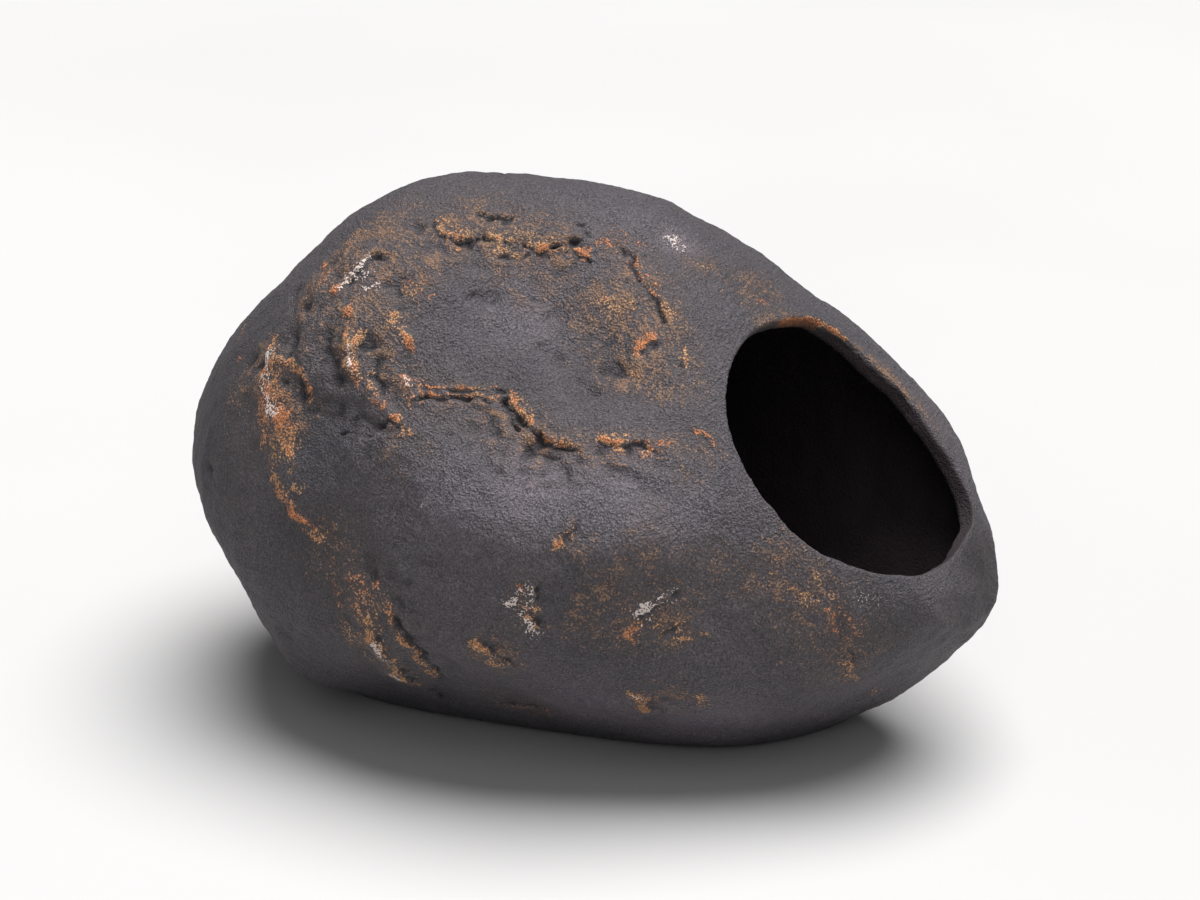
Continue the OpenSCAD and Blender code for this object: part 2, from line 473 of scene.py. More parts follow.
def scarp_height(side, along, uneven, open_crack, lip, lip_width, drop, drop_width, crack):
    """Rises gently to a lip on the left, and drops off it into a crack on the right."""
    rise = lip * dome(np.maximum(side, 0), lip_width * MM)
    fall = -drop * dome(np.maximum(-side, 0), drop_width * MM)
    slit = -crack * open_crack * dome(side + 0.6 * MM, 0.5 * MM)
    edge = ramp(side, -0.4 * MM, 0.2 * MM)
    return fade_ends(along) * (uneven * (edge * rise + (1 - edge) * fall) + slit)


def faults(points, crooked, size, seed):
    """Broken edges that wander over the back, away from the listed ones: each point's distance
    from the nearest, with a sign as in measure, and how strong the edge is there."""
    away = points - CORE
    away = away @ heading(*BACK_FACING) / np.linalg.norm(away, axis=1)
    # Noise over its usual slope is about the distance from where it is 0.
    side = lumps(crooked, size, seed) * size * 0.45
    share = ramp(away, 0.25, 0.5) * ramp(lumps(points, 1.2 * size, seed + 1), -0.1, 0.35)
    return side, share


def break_edges(points, crooked, surface, uneven):
    """The broken edges' height in mm, and how torn the rock is around them."""
    height = np.zeros(len(points))
    torn = np.zeros(len(points))
    open_crack = np.clip(0.5 + 1.7 * lumps(points, 3.5 * MM, 14), 0, 1.6)
    for line, lip, lip_width, drop, drop_width, crack in SCARPS:
        reach = 2.5 * max(lip_width, drop_width)
        chosen, distance, side, along = follow(crooked, surface.line(line), reach)
        height[chosen] += scarp_height(side, along, uneven[chosen], open_crack[chosen],
                                       lip, lip_width, drop, drop_width, crack)
        tearing = fade_ends(along) * min(lip + drop - 0.3, 1) * dome(distance, TORN_REACH)
        torn[chosen] = np.maximum(torn[chosen], tearing)
    for size, seed, drop in FAULTS:
        side, share = faults(points, crooked, size * MM, seed)
        height += share * scarp_height(side, MIDDLE, uneven, open_crack,
                                       FAULT_LIP, FAULT_LIP_WIDTH, drop, FAULT_DROP_WIDTH, drop)
        torn = np.maximum(torn, 0.5 * share * dome(side, TORN_REACH))
    return height, torn


def add_folds(height, torn, crooked, surface, uneven):
    """Adds the ridges and creases to height. The narrow ridges tear the rock too."""
    for line, tall, width in RIDGES:
        chosen, distance, _, along = follow(crooked, surface.line(line), 3 * width)
        shape = fade_ends(along, 0.3) * dome(distance, width * MM)
        if width < TORN_WIDTH:
            shape *= uneven[chosen]
            torn[chosen] = np.maximum(torn[chosen], 0.6 * min(tall, 1) * shape)
        height[chosen] += tall * shape
    for line, deep, width in CREASES:
        chosen, distance, _, along = follow(crooked, surface.line(line), 3 * width)
        shape = fade_ends(along, 0.3) * dome(distance, width * MM)
        height[chosen] -= deep * np.clip(uneven[chosen], 0.6, 1.25) * shape


def add_spots(height, points, crooked, surface):
    """Adds the round swells and hollows, and the ragged pits, to height."""
    for place, tall, width in SWELLS:
        distance = np.linalg.norm(points - surface.at(*place), axis=1)
        height += tall * dome(distance, width * MM)
    for place, deep, width in PITS:
        distance = np.linalg.norm(crooked - surface.at(*place), axis=1)
        height -= deep * dome(distance, width * MM)


def add_grain(height, torn, points, crooked):
    """Adds the stone's own unevenness to height."""
    patchy = ramp(lumps(points, 30 * MM, 31), -0.5, 0.6)
    rough = 0.7 + 0.4 * patchy + 0.9 * torn
    for size, tall, seed in BROAD_LUMPS:
        height += tall * lumps(points, size * MM, seed)
    for size, tall, seed in ROUGH_LUMPS:
        height += rough * tall * lumps(points, size * MM, seed)
    # Torn rock breaks along little ridges.
    large = np.abs(lumps(crooked, 3.6 * MM, 46))
    small = np.abs(lumps(crooked, 1.9 * MM, 47))
    height += np.minimum(torn, 1) * 0.65 * (0.35 - large - 0.5 * small)


def break_surface(points, crooked, surface):
    """The outside's height above the smooth boulder in mm."""
    uneven = np.clip(0.9 + 1.2 * lumps(points, 4.5 * MM, 12), 0.1, 1.7)
    height, torn = break_edges(points, crooked, surface, uneven)
    add_folds(height, torn, crooked, surface, uneven)
    add_spots(height, points, crooked, surface)
    add_grain(height, torn, points, crooked)
    return height


# ---------------------------------------------------------------- dry-brushed paint
# Strokes of paint on the crests: line, width in mm, strength.

ORANGE_STROKES = [
    # folds at the left
    ([(-130, 38), (-125, 34), (-123, 32), (-120, 29), (-117, 26)], 1.5, 1.35),
    ([(-124, 37), (-122, 31)], 1.2, 1.1),
    ([(-119, 32), (-115, 27), (-110, 24)], 1.8, 0.75),
    ([(-110, 24), (-103, 21)], 1.5, 1.1),
    ([(-123, 43), (-120, 40), (-117, 39)], 2.0, 0.7),
    ([(-118, 39), (-113, 37)], 1.2, 0.9),
    ([(-113, 32), (-108, 30), (-104, 26)], 2.8, 0.75),
    ([(-144, 27), (-138, 24), (-132, 25), (-125, 20)], 2.2, 0.9),
    ([(-161, 20), (-147, 18)], 1.1, 0.95),
    ([(-134, 37), (-134, 40)], 2.2, 0.85),
    ([(-152, 46), (-141, 44)], 2.4, 0.5),
    ([(-146, 40), (-138, 39)], 2.4, 0.5),
    ([(-128, 49), (-119, 46)], 5.0, 0.5),
    # the tail's front corner
    ([(-141, 24), (-136, 21), (-131, 16)], 3.8, 1.35),
    ([(-133, 18), (-129, 15), (-126, 11)], 2.8, 1.3),
    ([(-138, 17), (-132, 12), (-127, 8)], 2.8, 0.95),
    ([(-127, 13), (-125, 8)], 1.2, 0.9),
    ([(-125, 7), (-123, 6)], 1.2, 1.2),
    ([(-130, 8), (-124, 2), (-116, -4)], 2.2, 1.1),
    ([(-122, 3), (-116, 1)], 1.2, 0.5),
    ([(-113, -5), (-109, -9), (-107, -15), (-107, -23), (-111, -33), (-119, -44)], 2.8, 1.1),
    ([(-109, -5), (-105, -8)], 1.3, 0.6),
    ([(-106, -10), (-102, -13), (-100, -21), (-103, -34)], 1.6, 0.85),
    ([(-116, -9), (-113, -14), (-114, -21)], 2.0, 0.7),
    ([(-112, -14), (-111, -24), (-116, -36)], 4.5, 0.5),
    # ledge under the top
    ([(-146, 61), (-138, 60), (-133, 61), (-129, 64)], 3.0, 0.8),
    ([(-143, 66), (-139, 69), (-133, 73)], 1.6, 0.55),
    ([(-131, 66), (-125, 69), (-117, 72), (-110, 73)], 2.8, 0.72),
    ([(-114, 73), (-107, 73), (-101, 74), (-94, 77)], 2.8, 1.0),
    ([(-122, 65), (-116, 67), (-109, 70)], 1.5, 0.7),
    ([(-113, 63), (-107, 64)], 1.0, 0.6),
    ([(-80, 78), (-72, 76), (-64, 75)], 2.8, 0.85),
    ([(-58, 79), (-40, 78), (-16, 78)], 2.4, 0.55),
    ([(-20, 76), (-10, 73)], 1.6, 0.6),
    # beside the crack above the mouth
    ([(-30, 74), (-32, 69), (-29, 63), (-27, 59), (-29, 53), (-32, 49)], 2.0, 0.68),
    ([(-30, 47), (-32, 43), (-35, 39)], 1.0, 1.0),
    ([(-60, 66), (-50, 62), (-42, 57)], 4.5, 0.5),
    ([(-46, 47), (-41, 51), (-37, 50)], 2.2, 0.65),
    ([(-52, 41), (-45, 43)], 2.8, 0.4),
    ([(-2, 62), (4, 60), (9, 56)], 1.8, 0.45),
    ([(6, 58), (8, 55)], 0.8, 0.9),
    # long shelf
    ([(-108, 30), (-101, 33), (-94, 35), (-88, 36)], 0.9, 0.8),
    ([(-106, 29), (-98, 32), (-88, 35)], 1.0, 0.9),
    ([(-89, 35), (-84, 34), (-80, 31), (-77, 29)], 1.3, 1.4),
    ([(-78, 28), (-74, 26), (-70, 25), (-65, 24)], 1.3, 1.25),
    ([(-88, 31), (-82, 29), (-74, 24)], 2.4, 0.5),
    ([(-63, 27), (-58, 26), (-54, 25)], 2.2, 0.95),
    ([(-55, 25), (-51, 23), (-46, 20)], 1.6, 0.65),
    ([(-40, 27), (-37, 24), (-33, 18)], 1.0, 0.85),
    ([(-50, 24), (-40, 20)], 1.4, 0.4),
    # rim of the mouth
    ([(4, 47), (12, 45)], 1.5, 0.5),
    # chips on the belly
    ([(-70, 3), (-69, 6), (-67, 10)], 1.3, 0.85),
    ([(-74, -6), (-75, -9), (-73, -12)], 1.7, 1.1),
    ([(-73, -12), (-70, -11)], 1.2, 0.6),
    ([(-77, -2), (-76, -6), (-74, -9)], 1.0, 1.1),
    ([(-88, -14), (-84, -18), (-82, -23)], 2.4, 0.95),
    ([(-84, -15), (-80, -19), (-78, -22)], 2.2, 0.45),
    ([(-58, -12), (-56, -15)], 1.7, 1.1),
    ([(-57, -13), (-51, -9)], 1.3, 1.15),
    ([(-53, -12), (-46, -8)], 1.1, 1.1),
    ([(-52, -14), (-45, -9)], 1.1, 1.15),
    ([(-50, -15), (-42, -11)], 1.2, 1.05),
    ([(-57, -27), (-52, -31)], 2.4, 1.2),
    ([(-52, -31), (-51, -37)], 1.6, 0.9),
    ([(-43, -25), (-40, -31)], 1.8, 0.85),
    # under the mouth
    ([(-33, 2), (-32, -6)], 2.0, 0.5),
    ([(-31, -3), (-25, -7), (-22, -12), (-20, -18), (-14, -23)], 1.9, 0.75),
    ([(-27, -2), (-22, -8), (-18, -13)], 1.5, 0.65),
    ([(-6, -27), (-2, -30)], 2.0, 0.5),
    # tail and back
    ([(158, 27), (165, 35), (172, 41), (-178, 43)], 2.4, 1.0),
    ([(155, 9), (162, 15), (160, 24)], 2.2, 0.9),
    ([(98, 14), (108, 11), (118, 15), (130, 17), (140, 14), (150, 21)], 2.2, 1.1),
    ([(80, -17), (90, -11), (104, -15), (118, -11)], 2.2, 0.9),
    ([(41, -6), (46, 4), (55, 12), (59, 22), (67, 30)], 2.2, 0.95),
    ([(68, 51), (80, 47), (94, 50), (108, 49), (122, 43)], 2.2, 0.95),
    ([(-162, -24), (-171, -12), (-167, 0), (-174, 10)], 2.4, 0.9),
    ([(172, 30), (176, 14), (170, -2), (175, -18)], 3.4, 0.8),
    ([(140, -4), (132, -14), (136, -26)], 3.2, 0.8),
    ([(62, -4), (54, -16), (60, -26)], 3.2, 0.8),
    ([(118, 36), (108, 40), (98, 37)], 2.8, 0.7),
]

# Whitish strokes on the sharpest crests.
WHITE_STROKES = [
    ([(-133, 38), (-135, 41), (-136, 45), (-137, 48)], 1.8, 1.05),
    ([(-132, 42), (-128, 45)], 1.8, 0.6),
    ([(-141, 25), (-137, 21), (-131, 15)], 2.2, 0.9),
    ([(-124, 33), (-121, 30), (-118, 27)], 0.8, 0.6),
    ([(-112, 32), (-106, 28)], 1.1, 0.55),
    ([(-108, -18), (-108, -26)], 1.8, 0.85),
    ([(-110, -28), (-113, -34)], 1.7, 0.9),
    ([(-117, 1), (-114, 2)], 1.3, 0.4),
    ([(-98, 9), (-96, 9)], 1.1, 0.5),
    ([(-80, -8), (-77, -5), (-73, -2)], 1.8, 0.95),
    ([(-78, -9), (-74, -6)], 1.6, 0.75),
    ([(-76, -8), (-75, -12), (-73, -13)], 1.4, 0.95),
    ([(-57, -10), (-52, -7), (-47, -4)], 1.6, 1.0),
    ([(-55, -12), (-51, -9)], 1.1, 0.7),
    ([(-56, -28), (-53, -30)], 1.4, 0.7),
    ([(3, 70), (8, 69)], 1.8, 1.3),
    ([(10, 70), (14, 69)], 1.3, 1.2),
    ([(8, 68), (10, 67)], 0.9, 1.2),
    ([(4, 72), (6, 71)], 0.8, 1.2),
    ([(2, 71), (13, 68)], 4.5, 0.72),
    ([(-22, -5), (-17, -6)], 2.0, 0.4),
    ([(7, 57), (8, 56)], 1.2, 0.5),
    ([(166, 36), (171, 41)], 1.8, 0.85),
    ([(126, 17), (134, 16)], 1.6, 0.85),
    ([(57, 16), (60, 24)], 1.8, 0.8),
    ([(174, 4), (171, -4)], 2.0, 0.8),
]

# Thin brown specks left by a nearly dry brush: line, width in mm, strength.
HAZE = [
    ([(-152, 46), (-138, 50), (-120, 47)], 15, 1.0),
    ([(-146, 39), (-130, 37), (-116, 34)], 12, 0.95),
    ([(-148, 22), (-134, 18), (-124, 13)], 10, 0.95),
    ([(-128, 33), (-114, 32), (-105, 27)], 8, 0.7),
    ([(-148, 60), (-128, 68), (-97, 74), (-60, 76)], 10, 1.0),
    ([(-60, 76), (-40, 76), (-14, 76)], 8, 0.6),
    ([(-120, 62), (-100, 66), (-76, 70)], 9, 0.6),
    ([(-64, 72), (-52, 63), (-45, 52), (-44, 42), (-50, 33)], 12, 1.1),
    ([(-36, 76), (-28, 62), (-30, 44)], 7, 0.65),
    ([(-106, 29), (-90, 32), (-72, 25), (-44, 20)], 6, 0.65),
    ([(-92, 28), (-80, 26), (-70, 21)], 8, 0.5),
    ([(-110, 22), (-98, 16)], 8, 0.45),
    ([(-69, -5), (-62, -7), (-56, -4)], 12, 0.75),
    ([(-62, 2), (-50, -1), (-40, -6)], 13, 0.55),
    ([(-58, -10), (-44, -11)], 8, 0.80),
    ([(-55, -30), (-42, -28)], 8, 0.70),
    ([(-88, -16), (-76, -20)], 8, 0.70),
    ([(-80, -6), (-72, -6)], 7, 0.5),
    ([(-70, 7), (-62, 4)], 6, 0.45),
    ([(-36, 6), (-28, -5), (-16, -20)], 12, 0.72),
    ([(-122, 3), (-108, -12), (-113, -36)], 9, 0.62),
    ([(0, 54), (14, 49), (26, 42)], 7, 0.75),
    ([(20, 40), (25, 30)], 4, 0.7),
    ([(-8, 66), (8, 57)], 7, 0.5),
    ([(4, 70), (12, 68)], 5, 0.5),
    ([(-48, 25), (-36, 18)], 7, 0.6),
    ([(176, 38), (164, 26), (176, 0)], 12, 0.7),
    ([(152, 20), (120, 15), (94, 13)], 11, 0.7),
    ([(72, 30), (58, 16), (44, -2)], 11, 0.7),
    ([(124, 44), (94, 50), (66, 50)], 10, 0.65),
    ([(120, -14), (88, -13)], 9, 0.6),
    ([(-165, -20), (-170, 2)], 9, 0.6),
]

# Where the base coat is paler or darker than elsewhere: place, share, width in mm.
# Most are painted light and painted shade: paler where the underside takes bounce light and on
# the belly's lit shoulder, darker on the nose and the left end where shade falls. A few are the
# coat's own tone.
LIGHT_AND_PALE_PATCHES = [
    ((-58, 15), 0.60, 12),
    ((-76, 14), 0.65, 12),
    ((-92, 12), 0.50, 11),
    ((-46, 10), 0.40, 9),
    ((-95, 57), 0.50, 11),
    ((-82, 52), 0.20, 9),
    ((-14, 80), 0.30, 16),
    ((8, 69), 1.0, 5),
    ((-35, -40), 0.85, 17),
    ((-60, -42), 0.70, 17),
    ((-12, -30), 0.45, 14),
    ((100, 30), 0.30, 20),
    ((178, 30), 0.30, 16),
]
SHADE_AND_DARK_PATCHES = [
    ((5, -7), 0.90, 14),
    ((-16, -11), 0.35, 13),
    ((-62, -8), 0.25, 12),
    ((13, 49), 0.30, 8),
    ((-87, 41), 0.20, 8),
    ((-118, -5), 0.45, 18),
    ((-58, 46), 0.30, 9),
    ((-150, 8), 0.55, 28),
    ((-126, 20), 0.30, 12),
    ((70, 5), 0.25, 20),
]

# A brush's hairs leave streaks about this wide and this long.
HAIR_WIDTH = 0.7 * MM
HAIR_LENGTH = 7 * MM


def paint(crooked, surface, strokes, seed):
    """How much of each point the strokes cover, in streaks that run along them."""
    cover = np.zeros(len(crooked))
    missed = np.clip(0.9 + 0.5 * lumps(crooked, 5 * MM, seed + 5), 0.4, 1.25)
    for line, width, strength in strokes:
        places = surface.line(line)
        length = np.linalg.norm(np.diff(places, axis=0), axis=1).sum()
        chosen, distance, side, along = follow(crooked, places, 3 * width)
        # The line's own place makes its hairs a little unlike the next line's.
        own = np.full(len(chosen), places[0, 0])
        hairs = np.stack([side / HAIR_WIDTH, along * length / HAIR_LENGTH, own], 1)
        streaks = np.clip(0.8 + 1.3 * lumps(hairs, 1, seed), 0.1, 1.4) * missed[chosen]
        amount = strength * fade_ends(along, 0.15) * dome(distance, width * MM) * streaks
        cover[chosen] = np.maximum(cover[chosen], amount)
    return cover


def about_mouth(points):
    """Each point's offset from the mouth's centre, its distance out along the mouth's axis, and
    its distance from that axis."""
    facing = heading(*MOUTH_FACING)
    offset = points - MOUTH_CENTRE
    depth = offset @ facing
    return offset, depth, np.linalg.norm(offset - depth[:, None] * facing, axis=1)


def brushed_rim(points, lip):
    """Paint on the top of the mouth's rim and the haze beside it, as two covers."""
    up_slope = heading(MOUTH_FACING[0] + 180, 90 - MOUTH_FACING[1])
    across = np.cross(up_slope, heading(*MOUTH_FACING))
    offset, depth, radius = about_mouth(points)
    # Degrees round the rim from its top, towards the back.
    turn = np.degrees(np.arctan2(offset @ across, offset @ up_slope))
    gap = radius - MOUTH_RADIUS
    near = ramp(np.abs(gap), 9 * MM, 7 * MM) * ramp(depth, -14 * MM, -10 * MM)
    streaks = np.clip(0.8 + 0.9 * lumps(points, 3 * MM, 91), 0, 1.3)
    window = ramp(turn, 12, 24) * ramp(turn, 60, 46)
    wide = ramp(turn, -15, 10) * ramp(turn, 120, 80)
    orange = 2.2 * np.clip(2 * lip, 0, 1) * near * window * streaks
    haze = 0.7 * near * ramp(gap, 7 * MM, 0) * wide * streaks
    return orange, haze


def brushed_faults(points, crooked):
    """Paint on the edges of the back's faults and the haze beside them, as two covers."""
    orange = np.zeros(len(points))
    haze = np.zeros(len(points))
    streaks = np.clip(0.8 + 0.8 * lumps(crooked, 3 * MM, 95), 0.2, 1.3)
    for size, seed, _ in FAULTS:
        side, share = faults(points, crooked, size * MM, seed)
        edge = dome(side - 0.8 * MM, 1.5 * MM)
        orange = np.maximum(orange, 0.9 * share * streaks * edge)
        haze = np.maximum(haze, 0.8 * share * dome(side, 7 * MM))
    return orange, haze


def patches(points, surface, table):
    """The largest share that any of the table's patches has at each point."""
    share = np.zeros(len(points))
    for place, most, width in table:
        distance = np.linalg.norm(points - surface.at(*place), axis=1)
        share = np.maximum(share, most * dome(distance, width * MM))
    return share


def brushwork(points, crooked, surface, lip, catch, outside):
    """The covers of orange, white and haze. catch is how well each point meets the brush."""
    rim_orange, rim_haze = brushed_rim(points, lip)
    fault_orange, fault_haze = brushed_faults(points, crooked)
    orange = np.maximum(paint(crooked, surface, ORANGE_STROKES, 61), fault_orange)
    orange = np.maximum(catch * orange, rim_orange)
    white = catch * paint(crooked, surface, WHITE_STROKES, 71)
    haze = np.maximum(paint(crooked, surface, HAZE, 81), fault_haze)
    haze = np.maximum(catch * haze, outside * rim_haze)
    return orange, white, haze


# ---------------------------------------------------------------- the rock

# Rounds of smoothing for the whole shell, and then for what lies above its seat.
WHOLE_ROUNDS = 4
FREE_ROUNDS = 18
# Rounds that round off the mouth's lip, before and after the surface is broken.
LIP_ROUNDS = 28
LAST_LIP_ROUNDS = 5
# Rounds of averaging that tell crests from cavities.
RELIEF_ROUNDS = 24
# Paint turns to an ochre down to this far below the core.
OCHRE_DEPTH = 35 * MM


def softened(mesh):
    """Smooths the shell and rounds the mouth's lip. Returns the points, the edges, how free
    each point is to move, and how much it belongs to the lip."""
    points, edges = mesh_arrays(mesh)
    # Down by the floor plate's seat the CAD's flat faces stay as they are.
    free = ramp(points[:, 2] - UNDERSIDE, 1.0 * MM, 9 * MM)
    points = smooth_points(points, edges, WHOLE_ROUNDS, np.full(len(points), 0.35))
    points = smooth_points(points, edges, FREE_ROUNDS, free)
    put_points(mesh, points)
    # The lip is where the surface turns from looking out to looking in.
    facing = outward(points, mesh_normals(mesh))
    lip = blurred(ramp(np.abs(facing - 0.25), 0.5, 0.2), edges, 4) * free
    points = round_off(points, edges, LIP_ROUNDS, np.clip(2 * lip, 0, 1))
    put_points(mesh, points)
    return points, edges, free, lip


def breakable(points):
    """How much of the breaking each point takes: little on the mouth's rim, none at the base."""
    _, depth, radius = about_mouth(points)
    away = ramp(radius, MOUTH_RADIUS + 1 * MM, MOUTH_RADIUS + 8 * MM)
    rim = np.where(depth > -20 * MM, 0.15 + 0.85 * away, 1)
    return rim * ramp(points[:, 2] - UNDERSIDE, 0, 5 * MM)


def coats(points, crooked, surface, lip, relief, outside, within):
    """What the material reads, by name. relief is each point's height over the rock around."""
    crest = ramp(relief, 0.0, 0.3)
    cavity = ramp(-relief, 0.03, 0.5)
    catch = outside * np.clip(0.6 + 0.55 * crest - 1.2 * cavity, 0, 1.15)
    orange, white, haze = brushwork(points, crooked, surface, lip, catch, outside)
    return {
        "orange": orange,
        "white": white,
        "haze": haze,
        # pale and dark: patches that are mostly painted light and painted shade
        "pale": outside * patches(crooked, surface, LIGHT_AND_PALE_PATCHES),
        "dark": outside * patches(crooked, surface, SHADE_AND_DARK_PATCHES),
        # crest: paler coat on raised relief, a painted highlight
        "crest": outside * crest,
        # cavity: darker coat in hollows, painted shade
        "cavity": outside * cavity,
        # inside: the inside's dark resin, darkened further as painted shade
        "inside": within,
        "low": ramp(points[:, 2], CORE[2], CORE[2] - OCHRE_DEPTH),
    }


def rock_casting():
    """The boulder: the CAD shell's shape with a broken surface, paint, and a dark inside with
    painted shade.
    """
    piece = remeshed("rock_shell", VOXEL, "rock_casting")
    mesh = piece.data
    points, edges, free, lip = softened(mesh)
    surface = Surface(mesh)
    normals = mesh_normals(mesh)
    facing = outward(points, normals)
    outside = ramp(facing, 0.05, 0.45)
    # within marks the inside and faces that turn in under overhangs; their colour goes dark as
    # painted shade.
    within = ramp(facing, 0.4, -0.4)

    crooked = points
    for size, push, seed in WANDERS:
        crooked = wander(crooked, size * MM, push * MM, seed)
    lift = outside * breakable(points) * break_surface(points, crooked, surface)
    lift += within * free * 0.6 * lumps(points, 9 * MM, 51)
    points = points + normals * (lift * MM)[:, None]
    points = round_off(points, edges, LAST_LIP_ROUNDS, lip)
    put_points(mesh, points)

    relief = lift - blurred(lift, edges, RELIEF_ROUNDS)
    layers = coats(points, crooked, surface, lip, relief, outside, within)
    for name, values in layers.items():
        put_attribute(mesh, name, values)
    mesh.materials.append(painted_resin())
    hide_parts("rock_shell")
    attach(piece, "root")


# ---------------------------------------------------------------- materials

# Colours, linear.
COOL_CHARCOAL = (0.056, 0.052, 0.062)
WARM_CHARCOAL = (0.075, 0.064, 0.071)
MOTTLED_CHARCOAL = (0.042, 0.042, 0.051)
PALE_GRAIN = (0.145, 0.129, 0.142)
DARK_GRAIN = (0.014, 0.013, 0.015)
# A painted highlight on the crests.
PAINTED_CREST_HIGHLIGHT = (0.13, 0.12, 0.13)
# Painted shade in the cavities.
PAINTED_CAVITY_SHADE = (0.018, 0.016, 0.018)
BROWN_WASH = (0.100, 0.060, 0.042)
DARK_SPECK = (0.12, 0.070, 0.048)
PALE_SPECK = (0.36, 0.21, 0.12)
DEEP_ORANGE = (0.25, 0.090, 0.038)
PALE_ORANGE = (0.70, 0.26, 0.095)
DEEP_OCHRE = (0.20, 0.100, 0.048)
PALE_OCHRE = (0.66, 0.38, 0.185)
WHITE_PAINT = (0.72, 0.63, 0.58)
# The inside's dark resin, darkened further: painted shade.
INSIDE_RESIN_AND_SHADE = (0.034, 0.025, 0.029)
# What the base coat is multiplied by in its pale and dark patches: mostly painted light and
# painted shade.
LIGHT_AND_PALE_FACTOR = (2.0, 1.95, 2.0)
SHADE_AND_DARK_FACTOR = (0.25, 0.24, 0.25)

# The most that a stroke covers, so that some grains always miss the brush.
MOST_ORANGE = 0.77
MOST_WHITE = 0.60
# How gradually a painted grain ends. 0 is a hard edge.
GRAIN_EDGE = 0.14


class Recipe:
    """A material written as values that feed each other."""

    def __init__(self, name):
        self.material = bpy.data.materials.new(name)
        self.material.use_nodes = True
        self.tree = self.material.node_tree
        self.shader = self.tree.nodes["Principled BSDF"]
        self.place = self.tree.nodes.new("ShaderNodeTexCoord").outputs["Object"]

    def feed(self, socket, value):
        if isinstance(value, bpy.types.NodeSocket):
            self.tree.links.new(value, socket)
        elif value is not None:
            socket.default_value = (*value, 1) if isinstance(value, tuple) else value

    def attribute(self, name):
        node = self.tree.nodes.new("ShaderNodeAttribute")
        node.attribute_name = name
        return node.outputs["Fac"]

    def math(self, operation, a, b):
        node = self.tree.nodes.new("ShaderNodeMath")
        node.operation = operation
        self.feed(node.inputs[0], a)
        self.feed(node.inputs[1], b)
        return node.outputs[0]

    def stretched(self, turn, squeeze):
        node = self.tree.nodes.new("ShaderNodeMapping")
        self.feed(node.inputs["Vector"], self.place)
        node.inputs["Rotation"].default_value = turn
        node.inputs["Scale"].default_value = squeeze
        return node.outputs[0]

    def noise(self, size, detail=3, rough=0.55, place=None):
        node = self.tree.nodes.new("ShaderNodeTexNoise")
        self.feed(node.inputs["Vector"], place or self.place)
        node.inputs["Scale"].default_value = 1 / size
        node.inputs["Detail"].default_value = detail
        node.inputs["Roughness"].default_value = rough
        return node.outputs["Fac"]

    def cells(self, size):
        node = self.tree.nodes.new("ShaderNodeTexVoronoi")
        self.feed(node.inputs["Vector"], self.place)
        node.inputs["Scale"].default_value = 1 / size
        return node.outputs["Distance"]

    def spread(self, value, low, high, to_low=0.0, to_high=1.0):
        node = self.tree.nodes.new("ShaderNodeMapRange")
        node.interpolation_type = "SMOOTHSTEP"
        self.feed(node.inputs["Value"], value)
        for name, number in zip(("From Min", "From Max", "To Min", "To Max"),
                                (low, high, to_low, to_high)):
            node.inputs[name].default_value = number
        return node.outputs[0]

    def mix(self, share, first, second, how="MIX"):
        node = self.tree.nodes.new("ShaderNodeMix")
        node.data_type = "RGBA"
        node.blend_type = how
        self.feed(node.inputs["Factor"], share)
        self.feed(node.inputs[6], first)
        self.feed(node.inputs[7], second)
        return node.outputs[2]

    def bump(self, height, depth, strength=1.0):
        node = self.tree.nodes.new("ShaderNodeBump")
        self.feed(node.inputs["Height"], height)
        node.inputs["Distance"].default_value = depth
        node.inputs["Strength"].default_value = strength
        return node.outputs[0]

    def finish(self, colour, roughness, normal, specular=0.3):
        self.feed(self.shader.inputs["Base Color"], colour)
        self.feed(self.shader.inputs["Roughness"], roughness)
        self.feed(self.shader.inputs["Normal"], normal)
        self.shader.inputs["Specular IOR Level"].default_value = specular
        return self.material


def speckled(r, amount, grain):
    """Paint catches the highest grains first, and more of them as its amount grows."""
    full = 1 + GRAIN_EDGE
    raised = r.math("ADD", r.math("MULTIPLY", amount, full), grain)
    return r.spread(raised, 1, full)


def stone_coat(r, coarse, fine):
    """The charcoal base coat, with a painted highlight on the crests, painted shade in the
    cavities, and patches of painted light and painted shade.
    """
    blotch = r.noise(22 * MM, detail=4, rough=0.6)
    mottle = r.noise(4 * MM, detail=4, rough=0.65)
    coat = r.mix(r.spread(blotch, 0.35, 0.65), COOL_CHARCOAL, WARM_CHARCOAL)
    coat = r.mix(r.spread(mottle, 0.4, 0.7, 0, 0.45), coat, MOTTLED_CHARCOAL)
    coat = r.mix(r.spread(coarse, 0.42, 0.68, 0, 0.62), coat, PALE_GRAIN)
    coat = r.mix(r.spread(fine, 0.32, 0.55, 0.72, 0), coat, DARK_GRAIN)
    # Crests are lightened: a painted highlight.
    coat = r.mix(r.math("MULTIPLY", r.attribute("crest"), 0.25), coat, PAINTED_CREST_HIGHLIGHT)
    # Cavities are darkened: painted shade.
    coat = r.mix(r.math("MULTIPLY", r.attribute("cavity"), 0.75), coat, PAINTED_CAVITY_SHADE)
    # Paler and darker patches: mostly painted light and painted shade.
    coat = r.mix(r.attribute("pale"), coat, LIGHT_AND_PALE_FACTOR, "MULTIPLY")
    return r.mix(r.attribute("dark"), coat, SHADE_AND_DARK_FACTOR, "MULTIPLY")


def orange_paint(r, orange, fine):
    """The strokes' own colour, from orange to ochre."""
    # Thick paint is the reddest, and low on the rock it is more of an ochre.
    hue = r.spread(r.noise(14 * MM, detail=1), 0.4, 0.6)
    hue = r.math("MULTIPLY", hue, r.spread(orange, 0.65, 0.95, 1, 0))
    hue = r.math("MAXIMUM", hue, r.math("MULTIPLY", r.attribute("low"), 0.75))
    deep = r.mix(hue, DEEP_ORANGE, DEEP_OCHRE)
    pale = r.mix(hue, PALE_ORANGE, PALE_OCHRE)
    return r.mix(r.spread(fine, 0.4, 0.62), deep, pale)


